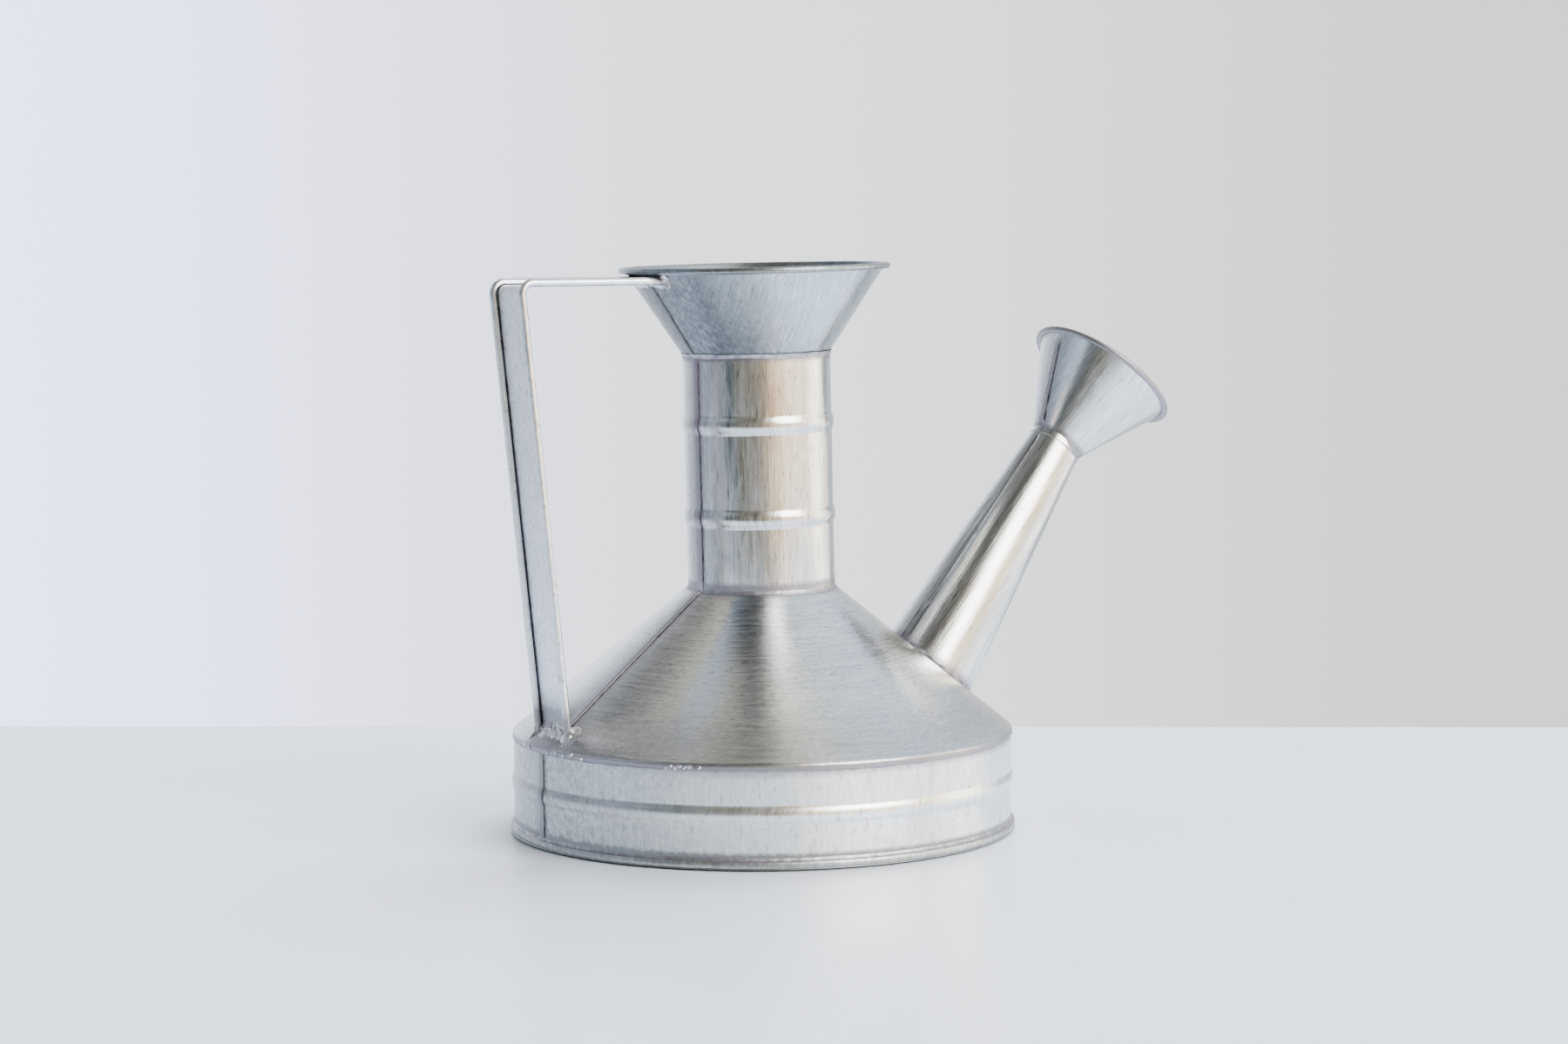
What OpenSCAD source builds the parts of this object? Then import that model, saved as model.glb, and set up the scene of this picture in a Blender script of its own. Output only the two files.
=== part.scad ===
// Galvanised watering can: a low drum, a sloping shoulder, a tall beaded neck with a
// funnel mouth, a strap handle, and a spout with a rose. Every joint is soldered.
// Units are millimetres. Z is up and z = 0 is the table. The spout points to +X and the
// handle to -X. The neck leans a little towards the handle.

/* [Sheet] */
// Thickness of the galvanised sheet
sheet_t = 0.5; // [0.4:0.1:0.8]
// Width of an overlapped side seam
lap_w = 3.4; // [2:0.2:5]
// Width of the solder at each side of a side seam
solder_w = 1.5; // [1:0.1:2.5]
// Thickness of the solder beside a side seam
solder_t = 0.25; // [0.15:0.05:0.35]

/* [Drum] */
// Outside radius of the drum wall
drum_r = 115; // [105:1:125]
// Height at which the slope of the shoulder would meet the wall
drum_h = 46.7; // [42:0.1:60]
// How far the folded seam at the foot stands out from the wall
foot_out = 1.7; // [1.2:0.1:2.5]
// Height of the folded seam at the foot
foot_h = 4.2; // [3.2:0.1:6]
// Height of the raised centre of the base above the table
panel_z = 3; // [1:0.5:6]
// Height of the middle of the drum's bead
drum_bead_z = 24; // [16:0.5:30]

/* [Beads] */
// How far a pressed bead stands out
bead_out = 1; // [0.6:0.1:1.4]
// Half the height of a pressed bead
bead_half = 3.8; // [3:0.1:5]

/* [Shoulder] */
// Height of the foot of the neck
neck_foot_z = 112; // [100:1:125]
// Outside radius of the bend at the shoulder's edge
edge_r = 2; // [1.5:0.1:3]
// Height of the lip that the shoulder turns down over the wall
lip_h = 1.6; // [1:0.1:3]

/* [Neck and funnel] */
// Outside radius of the neck
neck_r = 34; // [30:0.5:38]
// Length of the neck
neck_h = 107.2; // [90:1:120]
// Lean of the neck and funnel towards the handle, in degrees
neck_lean = 1.1; // [0:0.1:2]
// Heights of the two neck beads above the neck's foot
neck_beads = [33.5, 76];
// Outside radius of the rolled rim
rim_r = 62.3; // [56:0.5:68]
// Height of the rolled rim's middle above the neck's foot
rim_z = 146.5; // [135:0.5:160]
// Diameter of the rolled rim
roll_d = 2.8; // [2.2:0.1:3.6]

/* [Handle] */
// Width of the strap between the middles of its rolled edges
strap_w = 28.9; // [24:0.5:34]
// Diameter of the rolled edges
strap_roll_d = 3.6; // [3:0.1:4.4]
// Thickness of the strap's sheet
strap_t = 0.6; // [0.4:0.1:0.9]
// Distance of the outer corner from the can's axis
grip_x = 128.5; // [120:0.5:140]
// Height of the top of the handle
grip_z = 253.2; // [251.5:0.1:253.5]
// Lean of the handle's long leg from the vertical, in degrees
leg_lean = 5.8403; // [5:0.0001:7]
// Radius of the corner along the middle of the rolled edges
grip_bend_r = 5; // [4:0.5:12]

/* [Spout and rose] */
// Distance of the spout's end from the can's axis
spout_x = 165.2; // [155:0.2:175]
// Height of the spout's end
spout_z = 171.7; // [160:0.2:185]
// Slope of the spout above the horizontal, in degrees
spout_slope = 54.2; // [50:0.2:58]
// Outside radius of the spout's end
spout_r = 12.5; // [10:0.1:14]
// Taper of the spout's side, in degrees
spout_taper = 5; // [3:0.1:6]
// Slope of the rose above the horizontal, in degrees
rose_slope = 50.2; // [46:0.2:56]
// Outside radius of the rose's rim
rose_r = 37.1; // [30:0.1:42]
// Length of the rose from the spout's end to its rim
rose_h = 42.4; // [36:0.2:50]
// Radius of the sphere that the rose's face is domed to
face_dome_r = 176; // [120:1:300]
// Radius of a spray hole
hole_r = 1; // [0.6:0.1:1.3]
// Distance between the rings of spray holes
hole_step = 7; // [6:0.1:7.4]
// Number of rings of spray holes round the middle one
hole_rings = 4; // [2:1:4]

/* [Hidden] */
$fn = 96;
steel = [0.72, 0.75, 0.79];
dull = [0.50, 0.50, 0.55];

// Directions of the side seams round each piece's own axis
drum_seam_az = 181;
shoulder_seam_az = 184;
neck_seam_az = 186;
funnel_seam_az = 182;
spout_seam_az = 196;
rose_seam_az = 184;

// The arc of a pressed bead, from its height and how far it stands out
bead_r = (bead_half * bead_half + bead_out * bead_out) / (2 * bead_out);
bead_a = asin(bead_half / bead_r);

// The shoulder's slope, and the middle of the bend at its edge
slope = atan2(neck_foot_z - drum_h, drum_r - neck_r);
edge_x = drum_r + sheet_t - edge_r;
edge_z = drum_h - (edge_r - (drum_r - edge_x) * sin(slope)) / cos(slope);
lip_z = edge_z - lip_h;
seam_fillet = 1.6;
foot_fillet = 1.6;

// The funnel's foot, the middle of its rolled rim, and the slope between them
funnel_foot = [neck_r - sheet_t, neck_h];
rim_mid = [rim_r - roll_d / 2, rim_z];
rim_in = roll_d / 2 - sheet_t;

// The handle's bend
bend_a = 90 + leg_lean;
bend_x = -grip_x + grip_bend_r * tan(bend_a / 2);
leg_len = (grip_z - drum_h) / cos(leg_lean) + 4;
groove_w = 0.02;
ring_half = 0.3;
web_w = strap_w - 0.42 * strap_roll_d;
web_in = 0.445 * strap_roll_d;

// The rose's rim, which the face rolls round the cone's edge
rose_roll_r = roll_d / 2;
rose_mid = [rose_r - rose_roll_r, rose_h];
rose_foot = [spout_r + 0.8, 0.4];
dome_a = asin(rose_mid[0] / (face_dome_r - rose_roll_r));
dome_z = rose_mid[1] - (face_dome_r - rose_roll_r) * cos(dome_a);

// Points along an arc
function arc(mid, r, from, to, n = 12) =
    [for (i = [0:n]) let (a = from + (to - from) * i / n) mid + r * [cos(a), sin(a)]];

// Unit normal on the right of the line from one point to the next
function normal(p, q) = [q[1] - p[1], p[0] - q[0]] / norm(q - p);

// A path moved sideways by d, to the right where d is positive
function shifted(path, d) = let (n = len(path) - 1)
    [for (i = [0:n])
        let (a = normal(path[max(i, 1) - 1], path[max(i, 1)]),
             b = normal(path[min(i, n - 1)], path[min(i, n - 1) + 1]))
        path[i] + (a + b) * d / (1 + a * b)];

function backwards(path) = [for (i = [len(path) - 1:-1:0]) path[i]];

// The slope of a line from point p that passes on the left of a circle
function tangent_slope(p, mid, r) =
    atan2(mid[1] - p[1], mid[0] - p[0]) + asin(r / norm(mid - p));

// Where that line touches the circle
function tangent_point(p, mid, r) = let (a = tangent_slope(p, mid, r))
    p + sqrt(pow(norm(mid - p), 2) - r * r) * [cos(a), sin(a)];

// A point on the shoulder's outer face at distance x from the axis
function on_shoulder(x) = [x, neck_foot_z - (x - neck_r) * tan(slope)];

// The spout's outer face between two heights along its own axis
function spout_wall(from, to) = [for (z = [from, to]) [spout_r - z * tan(spout_taper), z]];

// A straight wall with pressed beads, drawn upwards
function beaded(r, from, to, beads) = concat([[r, from]],
    [for (z = beads) for (p = arc([r + bead_out - bead_r, z], bead_r, -bead_a, bead_a)) p],
    [[r, to]]);

// The inner face of the strap between its rolled edges, from the foot to the funnel
web_bend = arc([bend_x, grip_z - grip_bend_r], grip_bend_r - web_in, 90 + bend_a, 90);
web_path = concat([web_bend[0] + leg_len * [sin(leg_lean), -cos(leg_lean)]], web_bend,
    [[-neck_r, grip_z - web_in]]);
spout_lap = spout_wall(-126, -7);
shoulder_lap = [on_shoulder(drum_r - 16), on_shoulder(neck_r + 5)];
shoulder_path = concat([[drum_r + sheet_t, lip_z]],
    arc([edge_x, edge_z], edge_r, 0, 90 - slope, 6), [on_shoulder(neck_r - 4)]);
rim_slope = tangent_slope(funnel_foot, rim_mid, rim_in);
funnel_path = concat([funnel_foot - [0, 3.3], funnel_foot],
    arc(rim_mid, rim_in, rim_slope + 90, rim_slope - 200, 18));
funnel_wall = [funnel_foot, tangent_point(funnel_foot, rim_mid, rim_in)];
rose_wall = [rose_foot, tangent_point(rose_foot, rose_mid, rose_roll_r - sheet_t + 0.05)];
rose_path = concat([rose_foot - [0, 2.9]], rose_wall);
face_path = concat(arc(rose_mid, rose_roll_r, -150, 90 - dome_a, 16),
    arc([0, dome_z], face_dome_r, 90 - dome_a, 90, 10));

// The flat outline between two sideways shifts of a path
module layer(path, from, to) {
    polygon(concat(shifted(path, from), backwards(shifted(path, to))));
}

module sheet_of(path) rotate_extrude() layer(path, -sheet_t, 0);

// A thin plate that stands on one side of the axis, to cut a straight strip from a shell
module slab(az, w) rotate([0, 0, az]) translate([0, -w / 2, -400]) cube([400, w, 800]);

// The second layer of sheet where a piece overlaps itself
module lap(path, az) intersection() {
    rotate_extrude() layer(path, 0, sheet_t);
    slab(az, lap_w);
}

// The two thin runs of solder beside an overlap
module lap_solder(path, az) difference() {
    intersection() {
        rotate_extrude() layer(path, 0, solder_t);
        slab(az, lap_w + 2 * solder_w);
    }
    slab(az, lap_w);
}

module at_neck() translate([0, 0, neck_foot_z]) rotate([0, -neck_lean, 0]) children();
module at_spout() translate([spout_x, 0, spout_z]) rotate([0, 90 - spout_slope, 0]) children();
module at_rose() translate([spout_x, 0, spout_z]) rotate([0, 90 - rose_slope, 0]) children();

// Everything below the shoulder's outer face, or below that face moved out by d
module below_shoulder(d = 0) {
    up = [0, d / cos(slope)];
    rotate_extrude() polygon([[0, -40], [200, -40], on_shoulder(200) + up, on_shoulder(0) + up]);
}

// A plain cone round the spout's axis, moved out by d from the tube's outer face
module spout_core(d = 0, top = 1.5) {
    low = -175;
    grow = d / cos(spout_taper);
    translate([0, 0, low]) cylinder(h = top - low, r1 = spout_r + grow - low * tan(spout_taper),
        r2 = spout_r + grow - top * tan(spout_taper));
}

// Everything inside the funnel's outer face
module funnel_core() rotate_extrude() polygon([[0, funnel_foot[1]], funnel_wall[0],
    funnel_wall[1], [0, funnel_wall[1][1]]]);

// The round outline of the strap's rolled edge, full or hollow
module roll_outline(full) difference() {
    circle(strap_roll_d / 2);
    if (!full) circle(strap_roll_d / 2 - strap_t);
}

// One rolled edge swept along the handle, in the plane y = 0. A fine groove parts its long
// leg from its bend, and a thin ring inside the wall joins the two.
module roll_sweep(full) {
    translate([bend_x, 0, grip_z]) rotate([90, 0, 90])
        linear_extrude(-bend_x - neck_r) roll_outline(full);
    translate([bend_x, 0, grip_z - grip_bend_r]) {
        rotate([90, 0, 0]) rotate([0, 0, 90]) rotate_extrude(angle = bend_a)
            translate([grip_bend_r, 0]) rotate(-90) roll_outline(full);
        rotate([0, -bend_a, 0]) translate([0, 0, grip_bend_r]) rotate([90, 0, -90]) {
            translate([0, 0, groove_w]) linear_extrude(leg_len) roll_outline(full);
            translate([0, 0, -ring_half]) linear_extrude(2 * ring_half) difference() {
                circle(strap_roll_d / 2 - strap_t / 4);
                circle(strap_roll_d / 2 - strap_t * 3 / 4);
            }
        }
    }
}

// The strap between its rolled edges, which lies on their inner side
module strap_web() rotate([90, 0, 0]) translate([0, 0, -web_w / 2]) linear_extrude(web_w)
    layer(web_path, 0, strap_t);

module strap_sweep(full) {
    strap_web();
    for (side = [-1, 1]) translate([0, side * strap_w / 2, 0]) roll_sweep(full);
}

module base_pan() color(steel) rotate_extrude() {
    out = drum_r + foot_out;
    polygon([[0, panel_z], [drum_r - 21, panel_z], [drum_r - 17, 0], [out - 0.8, 0],
             [out, 0.7], [out, 0.9], [out - 0.3, 1.1], [out, 1.3], [out, foot_h - 0.5],
             [out - 0.5, foot_h], [drum_r, foot_h], [drum_r, sheet_t],
             [drum_r - 16.8, sheet_t], [drum_r - 20.8, panel_z + sheet_t],
             [0, panel_z + sheet_t]]);
}

module drum_wall() color(steel) {
    sheet_of(beaded(drum_r, sheet_t, edge_z, [drum_bead_z]));
    lap(beaded(drum_r, foot_h + foot_fillet, lip_z - seam_fillet, [drum_bead_z]), drum_seam_az);
}

module shoulder() color(steel) difference() {
    union() {
        sheet_of(shoulder_path);
        lap(shoulder_lap, shoulder_seam_az);
    }
    at_neck() translate([0, 0, -20]) cylinder(h = 40, r = neck_r);
    at_spout() spout_core();
}

module neck_tube() color(steel) at_neck() {
    sheet_of(beaded(neck_r, -6, neck_h, neck_beads));
    lap(beaded(neck_r, 4.4, neck_h - 2, neck_beads), neck_seam_az);
}

module funnel() color(steel) at_neck() {
    sheet_of(funnel_path);
    lap([funnel_foot + [cos(rim_slope), sin(rim_slope)] * 2.6,
         funnel_foot + [cos(rim_slope), sin(rim_slope)] * 36], funnel_seam_az);
}

module handle_strap() color(steel) difference() {
    strap_sweep(false);
    below_shoulder();
    at_neck() funnel_core();
}

module spout_tube() color(steel) difference() {
    at_spout() {
        rotate_extrude() layer(spout_wall(-160, 1.5), -sheet_t, 0);
        lap(spout_lap, spout_seam_az);
    }
    below_shoulder(-3);
}

module rose_cone() color(steel) difference() {
    at_rose() {
        sheet_of(rose_path);
        lap([rose_wall[0] + [0.6, 1.2], rose_wall[1] - [1.3, 2.4]], rose_seam_az);
    }
    at_spout() spout_core();
}

module rose_face() color(steel) at_rose() difference() {
    rotate_extrude() intersection() {
        layer(face_path, -sheet_t, 0);
        square([rose_r + 5, rose_h + 20]);
    }
    for (ring = [0:hole_rings]) for (i = [0:max(6 * ring, 1) - 1])
        rotate([0, 0, i * 360 / max(6 * ring, 1)]) translate([ring * hole_step, 0, rose_h])
            cylinder(h = 12, r = hole_r);
}

module base_solder() color(dull) rotate_extrude()
    polygon([[drum_r, foot_h], [drum_r + foot_out - 0.5, foot_h],
             [drum_r + 0.5, foot_h + 0.5], [drum_r, foot_h + foot_fillet]]);

module drum_side_solder() color(dull)
    lap_solder(beaded(drum_r, foot_h + foot_fillet, lip_z - seam_fillet, [drum_bead_z]),
               drum_seam_az);

module shoulder_seam_solder() color(dull) rotate_extrude()
    polygon([[drum_r, lip_z - seam_fillet], [drum_r + sheet_t, lip_z - 0.3],
             [drum_r + sheet_t, lip_z], [drum_r, lip_z]]);

module shoulder_side_solder() color(dull)
    lap_solder(shoulder_lap, shoulder_seam_az);

module neck_foot_solder() color(dull) difference() {
    rotate_extrude() polygon([on_shoulder(neck_r - 2), on_shoulder(neck_r + 3.8),
        on_shoulder(neck_r + 1.4) + [0, 2.4], [neck_r + 0.5, neck_foot_z + 4],
        [neck_r - 2, neck_foot_z + 4]]);
    at_neck() translate([0, 0, -20]) cylinder(h = 40, r = neck_r);
}

module neck_side_solder() color(dull) at_neck()
    lap_solder(beaded(neck_r, 4.4, neck_h - 2, neck_beads), neck_seam_az);

module funnel_foot_solder() color(dull) at_neck() rotate_extrude()
    polygon([[neck_r, neck_h - 1.8], [neck_r + 0.5, neck_h - 0.2],
             funnel_foot + [cos(rim_slope), sin(rim_slope)] * 2.4, funnel_foot,
             [neck_r, neck_h]]);

module funnel_side_solder() color(dull) at_neck()
    lap_solder([funnel_foot + [cos(rim_slope), sin(rim_slope)] * 2.6,
                funnel_foot + [cos(rim_slope), sin(rim_slope)] * 36], funnel_seam_az);

// Solder on the funnel just under the rim, round the strap's end
module handle_top_solder() color(dull) difference() {
    intersection() {
        at_neck() rotate_extrude() layer([funnel_foot + [cos(rim_slope), sin(rim_slope)] * 37,
            funnel_wall[1] - [cos(rim_slope), sin(rim_slope)]], 0, 1);
        translate([-rim_r - 10, -strap_w / 2 - 3.5, 0]) cube([rim_r, strap_w + 7, 400]);
    }
    strap_sweep(true);
}

// Solder on the shoulder round the strap's foot
module handle_foot_solder() color(dull) difference() {
    intersection() {
        below_shoulder(1.1);
        translate([-drum_r + 1, -strap_w / 2 - 4, drum_h]) cube([14.5, strap_w + 8, 60]);
    }
    below_shoulder();
    strap_sweep(true);
}

module spout_root_solder() color(dull) difference() {
    intersection() {
        below_shoulder(1.1);
        at_spout() spout_core(3.5);
    }
    below_shoulder();
    at_spout() spout_core();
}

module spout_side_solder() color(dull) at_spout() lap_solder(spout_lap, spout_seam_az);

module rose_foot_solder() color(dull) difference() {
    at_rose() rotate_extrude() polygon([[spout_r - 2, -6], [spout_r + 0.7, -6],
        [spout_r + 1.5, -4.2], [spout_r + 1.7, -2.5], [spout_r - 2, -2.5]]);
    at_spout() spout_core();
}

module rose_side_solder() color(dull) at_rose()
    lap_solder([rose_wall[0] + [0.6, 1.2], rose_wall[1] - [1.3, 2.4]], rose_seam_az);

base_pan();
drum_wall();
shoulder();
neck_tube();
funnel();
handle_strap();
spout_tube();
rose_cone();
rose_face();
base_solder();
drum_side_solder();
shoulder_seam_solder();
shoulder_side_solder();
neck_foot_solder();
neck_side_solder();
funnel_foot_solder();
funnel_side_solder();
handle_top_solder();
handle_foot_solder();
spout_root_solder();
spout_side_solder();
rose_foot_solder();
rose_side_solder();
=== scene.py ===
"""A galvanised watering can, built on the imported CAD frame.

Lengths in the shape code are millimetres, and MM turns them into metres. Each piece of sheet
is drawn in its own frame, whose Z is the piece's axis, and a matrix such as AT_NECK places it.
"""

import math
from dataclasses import dataclass

import bmesh
import bpy
from mathutils import Matrix, Vector, noise


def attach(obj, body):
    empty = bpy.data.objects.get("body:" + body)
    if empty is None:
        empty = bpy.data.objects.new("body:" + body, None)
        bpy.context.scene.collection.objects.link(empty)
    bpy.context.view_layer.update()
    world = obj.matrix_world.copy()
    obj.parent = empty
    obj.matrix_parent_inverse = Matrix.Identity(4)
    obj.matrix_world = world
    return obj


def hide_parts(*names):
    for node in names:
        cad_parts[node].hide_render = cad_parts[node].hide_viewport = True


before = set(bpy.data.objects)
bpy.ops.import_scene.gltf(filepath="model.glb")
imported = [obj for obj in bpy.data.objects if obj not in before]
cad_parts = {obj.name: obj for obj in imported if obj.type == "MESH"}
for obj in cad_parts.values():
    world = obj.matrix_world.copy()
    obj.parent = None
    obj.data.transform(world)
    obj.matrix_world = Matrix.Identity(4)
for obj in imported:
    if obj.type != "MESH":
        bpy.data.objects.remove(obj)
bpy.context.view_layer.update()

MM = 0.001

# The driving sizes of the part
SHEET_T = 0.5
DRUM_R, DRUM_H = 115.0, 46.7
FOOT_OUT, FOOT_H, PANEL_Z = 1.7, 4.2, 3.0
BEAD_OUT, BEAD_HALF, DRUM_BEAD_Z = 1.0, 3.8, 24.0
NECK_FOOT_Z, NECK_R, NECK_H, NECK_LEAN = 112.0, 34.0, 107.2, 1.1
NECK_BEADS = (33.5, 76.0)
EDGE_R, LIP_H = 2.0, 1.6
RIM_R, RIM_Z, ROLL_D = 62.3, 146.5, 2.8
STRAP_W, STRAP_ROLL_R, STRAP_T = 28.9, 1.8, 0.6
GRIP_X, GRIP_Z, LEG_LEAN, GRIP_BEND_R = 128.5, 253.2, 5.8403, 5.0
SPOUT_X, SPOUT_Z, SPOUT_SLOPE, SPOUT_R, SPOUT_TAPER = 165.2, 171.7, 54.2, 12.5, 5.0
ROSE_SLOPE, ROSE_R, ROSE_H = 50.2, 37.1, 42.4
FACE_DOME_R, HOLE_R, HOLE_STEP, HOLE_RINGS = 176.0, 1.0, 7.0, 4
LAP_W, LAP_SOLDER_W = 3.4, 1.5

# Where each overlapped seam lies round its piece, in degrees
DRUM_SEAM, SHOULDER_SEAM, NECK_SEAM = 181, 184, 186
FUNNEL_SEAM, SPOUT_SEAM, ROSE_SEAM = 182, 196, 184

# How finely a sheet is drawn: columns round it, and the longest step between rows of the
# sheet and of the solder along its seam
COLUMNS = 224
ROW_STEP = 3.0
SOLDER_STEP = 1.6

UP = Vector((0, 0, 1))


# ---------------------------------------------------------------- paths

def arc(mid, r, start, end, n=12):
    """Points along an arc, with its angles in degrees."""
    angles = [math.radians(start + (end - start) * i / n) for i in range(n + 1)]
    return [Vector((mid[0] + r * math.cos(a), mid[1] + r * math.sin(a))) for a in angles]


def path_normals(path):
    """The mitred normal on the right of each point of a path."""
    sides = []
    for p, q in zip(path, path[1:]):
        d = (q - p).normalized()
        sides.append(Vector((d.y, -d.x)))
    out = []
    for a, b in zip([sides[0]] + sides, sides + [sides[-1]]):
        out.append((a + b) / (1 + a.dot(b)))
    return out


def moved(path, d):
    return [p + n * d for p, n in zip(path, path_normals(path))]


def path_lengths(path):
    """How far along the path each of its points is."""
    along = [0.0]
    for p, q in zip(path, path[1:]):
        along.append(along[-1] + (q - p).length)
    return along


def swung(p, a):
    """A point of a profile (distance from Z, height) at the angle a round Z."""
    return Vector((p[0] * math.cos(a), p[0] * math.sin(a), p[1]))


def fine(path, step):
    """The path with points added so that none are further apart than step."""
    out = [path[0].copy()]
    for p, q in zip(path, path[1:]):
        n = max(1, math.ceil((q - p).length / step))
        out += [p.lerp(q, i / n) for i in range(1, n + 1)]
    return out


def beaded(r, low, high, beads):
    """A straight wall with pressed beads, drawn upwards."""
    bead_r = (BEAD_HALF ** 2 + BEAD_OUT ** 2) / (2 * BEAD_OUT)
    half = math.degrees(math.asin(BEAD_HALF / bead_r))
    beside = BEAD_HALF + 0.9
    path = [Vector((r, low))]
    for z in beads:
        path.append(Vector((r, z - beside)))
        path += arc((r + BEAD_OUT - bead_r, z), bead_r, -half, half, 8)
        path.append(Vector((r, z + beside)))
    return path + [Vector((r, high))]


# The shoulder's slope and the edge where it turns down into the lip
SLOPE = math.atan2(NECK_FOOT_Z - DRUM_H, DRUM_R - NECK_R)
EDGE_X = DRUM_R + SHEET_T - EDGE_R
EDGE_Z = DRUM_H - (EDGE_R - (DRUM_R - EDGE_X) * math.sin(SLOPE)) / math.cos(SLOPE)
LIP_Z = EDGE_Z - LIP_H


def on_shoulder(x):
    """The point of the shoulder's profile at a distance from its axis."""
    return Vector((x, NECK_FOOT_Z - (x - NECK_R) * math.tan(SLOPE)))


def under_shoulder(p):
    return p.z < on_shoulder(math.hypot(p.x, p.y)).y


def shoulder_face(p):
    """The direction that the shoulder faces beside a point."""
    radial = Vector((p.x, p.y, 0)).normalized()
    return radial * math.sin(SLOPE) + UP * math.cos(SLOPE)


# The funnel and the rose: straight cones that end in a rolled rim
FUNNEL_FOOT = Vector((NECK_R - SHEET_T, NECK_H))
RIM_MID = Vector((RIM_R - ROLL_D / 2, RIM_Z))


def tangent(p, mid, r):
    """The direction from p that passes a circle on its left, and the touching point."""
    to = mid - p
    a = math.atan2(to.y, to.x) + math.asin(r / to.length)
    return a, p + Vector((math.cos(a), math.sin(a))) * math.sqrt(to.length ** 2 - r * r)


ROLL_MID_R = ROLL_D / 2 - SHEET_T
RIM_SLOPE, FUNNEL_TOP = tangent(FUNNEL_FOOT, RIM_MID, ROLL_MID_R)
ROSE_FOOT = Vector((SPOUT_R + 0.8, 0.4))
ROSE_MID = Vector((ROSE_R - ROLL_D / 2, ROSE_H))
ROSE_TOP = tangent(ROSE_FOOT, ROSE_MID, ROLL_MID_R + 0.05)[1]

# Where each piece's own frame lies
AT_NECK = (Matrix.Translation((0, 0, NECK_FOOT_Z))
           @ Matrix.Rotation(math.radians(-NECK_LEAN), 4, "Y"))
AT_SPOUT = (Matrix.Translation((SPOUT_X, 0, SPOUT_Z))
            @ Matrix.Rotation(math.radians(90 - SPOUT_SLOPE), 4, "Y"))
AT_ROSE = (Matrix.Translation((SPOUT_X, 0, SPOUT_Z))
           @ Matrix.Rotation(math.radians(90 - ROSE_SLOPE), 4, "Y"))
AT_DRUM = Matrix.Identity(4)


# ---------------------------------------------------------------- materials

class Nodes:
    """A small helper that adds nodes and joins them."""

    def __init__(self, tree):
        self.tree = tree

    def add(self, kind, sockets=None, **settings):
        node = self.tree.nodes.new(kind)
        for key, value in settings.items():
            setattr(node, key, value)
        for key, value in (sockets or {}).items():
            if isinstance(value, bpy.types.NodeSocket):
                self.feed(node, key, value)
            else:
                node.inputs[key].default_value = value
        return node

    def math(self, operation, *values):
        return self.add("ShaderNodeMath", dict(enumerate(values)), operation=operation).outputs[0]

    def feed(self, node, key, value):
        self.tree.links.new(value, node.inputs[key])

    def streaks(self, scale, turn, detail, distortion=0.0):
        """Noise on the flat sheet, with its own scale round the piece and along it."""
        uv = self.add("ShaderNodeUVMap", uv_map="sheet").outputs[0]
        rotated = self.add("ShaderNodeMapping", {"Vector": uv, "Rotation": (0, 0, turn)})
        scaled = self.add("ShaderNodeMapping", {"Vector": rotated.outputs[0], "Scale": (*scale, 1)})
        return self.add("ShaderNodeTexNoise", {
            "Vector": scaled.outputs[0], "Scale": 1.0, "Detail": detail, "Roughness": 0.6,
            "Distortion": distortion}).outputs["Fac"]

    def fit(self, value, low, high, to_low=0.0, to_high=1.0):
        return self.add("ShaderNodeMapRange", {
            "Value": value, "From Min": low, "From Max": high, "To Min": to_low,
            "To Max": to_high}).outputs["Result"]

    def mix(self, factor, a, b, blend="MIX"):
        node = self.add("ShaderNodeMix", {0: factor, 6: a, 7: b}, data_type="RGBA",
                        blend_type=blend)
        return node.outputs[2]


# Most of a noise lies in this range
NOISE = (0.3, 0.7)
# The colours of sheet that flux has dulled, also used for painted shade, and of the zinc's bright
# flecks
STAIN_AND_SHADE = (0.27, 0.258, 0.29)
FLECK = (0.93, 0.94, 0.95)


def new_material(name):
    mat = bpy.data.materials.new(name)
    mat.use_nodes = True
    mat.node_tree.nodes.clear()
    n = Nodes(mat.node_tree)
    shader = n.add("ShaderNodeBsdfPrincipled")
    n.add("ShaderNodeOutputMaterial", {"Surface": shader.outputs[0]})
    return mat, n, shader


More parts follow.
